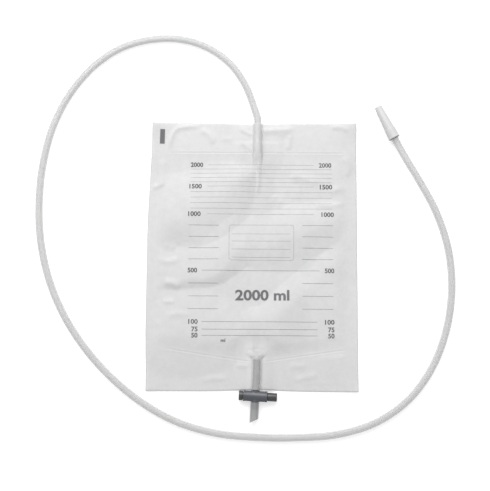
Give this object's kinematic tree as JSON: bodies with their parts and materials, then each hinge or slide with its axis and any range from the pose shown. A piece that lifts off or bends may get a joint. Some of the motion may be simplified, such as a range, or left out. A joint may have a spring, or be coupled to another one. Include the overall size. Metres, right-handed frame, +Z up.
{
  "type": "urine drainage bag",
  "caption": "Flat two-film urine bag with printed volume scale, long inlet tube with capped catheter connector, non-return sleeve and push-pull drain valve.",
  "frame": {"origin": "on the table, midway between the bag's side edges and midway from its header edge to the drain spout's tip", "axes": "+X to the bag's right seen from the printed side, +Y towards the header and the inlet tube, +Z up out of the printed side"},
  "size_m": [0.4211, 0.411, 0.012],
  "materials": {
    "white_film": "soft white PVC film",
    "frosted_film": "frosted clear PVC film with fine creases",
    "sleeve_film": "thin clear PVC film",
    "clear_tube": "soft translucent PVC tube",
    "valve_grey": "satin blue-grey moulded plastic",
    "plunger_grey": "satin dark grey moulded plastic",
    "cap_white": "translucent white moulded plastic"
  },
  "bodies": {
    "bag": {"back_film": "white_film", "front_film": "frosted_film", "non_return_valve": "sleeve_film", "inlet_tube": "clear_tube", "outlet_tube": "clear_tube", "drain_spout": "clear_tube", "valve_body": "valve_grey", "tube_connector": "cap_white"},
    "plunger": {"valve_plunger": "plunger_grey"},
    "cap": {"connector_cap": "cap_white"}
  },
  "joints": [
    {"name": "plunger_slide", "type": "slide", "parent": "bag", "child": "plunger", "axis": [0.9985, -0.0541, 0], "range_m": [-0.0075, 0]},
    {"name": "cap_pull", "type": "slide", "parent": "bag", "child": "cap", "axis": [-0.4509, 0.8926, 0], "range_m": [0, 0.04]}
  ]
}
